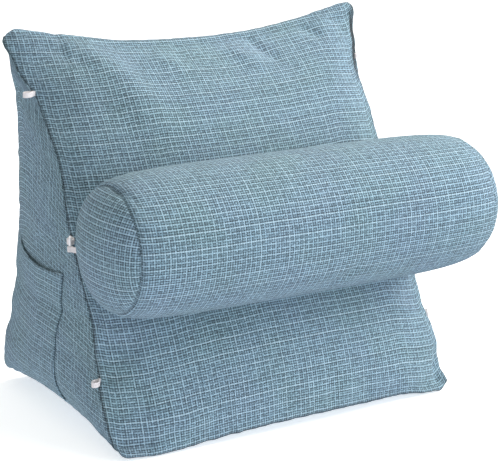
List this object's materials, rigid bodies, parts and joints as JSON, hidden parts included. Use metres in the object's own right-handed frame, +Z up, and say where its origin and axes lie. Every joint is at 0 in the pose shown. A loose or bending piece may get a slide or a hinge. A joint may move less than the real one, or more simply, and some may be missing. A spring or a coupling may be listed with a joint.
{
  "type": "bed wedge pillow",
  "caption": "Triangular stuffed bed wedge in checked tweed cloth with a neck bolster hooked across its sloping front, sewn side loops and a side pocket.",
  "frame": {"origin": "on the floor plane under the middle of the wedge's base", "axes": "+Z up, -Y towards the sloping front and the bolster, +X to the right as seen from the front"},
  "size_m": [0.515, 0.375, 0.4433],
  "materials": {
    "cover_cloth": "blue tweed weave with a pale check",
    "white_tape": "white woven tape",
    "white_plastic": "moulded, glossy"
  },
  "bodies": {
    "root": {"wedge_cushion": "cover_cloth", "bolster": "cover_cloth", "side_pocket": "cover_cloth", "seam_loop_left_upper": "white_tape", "seam_loop_left_middle": "white_tape", "seam_loop_left_lower": "white_tape", "seam_loop_right_upper": "white_tape", "seam_loop_right_middle": "white_tape", "seam_loop_right_lower": "white_tape", "bolster_tab_left": "white_tape", "bolster_tab_right": "white_tape", "bolster_hook_left": "white_plastic", "bolster_hook_right": "white_plastic"}
  },
  "joints": []
}
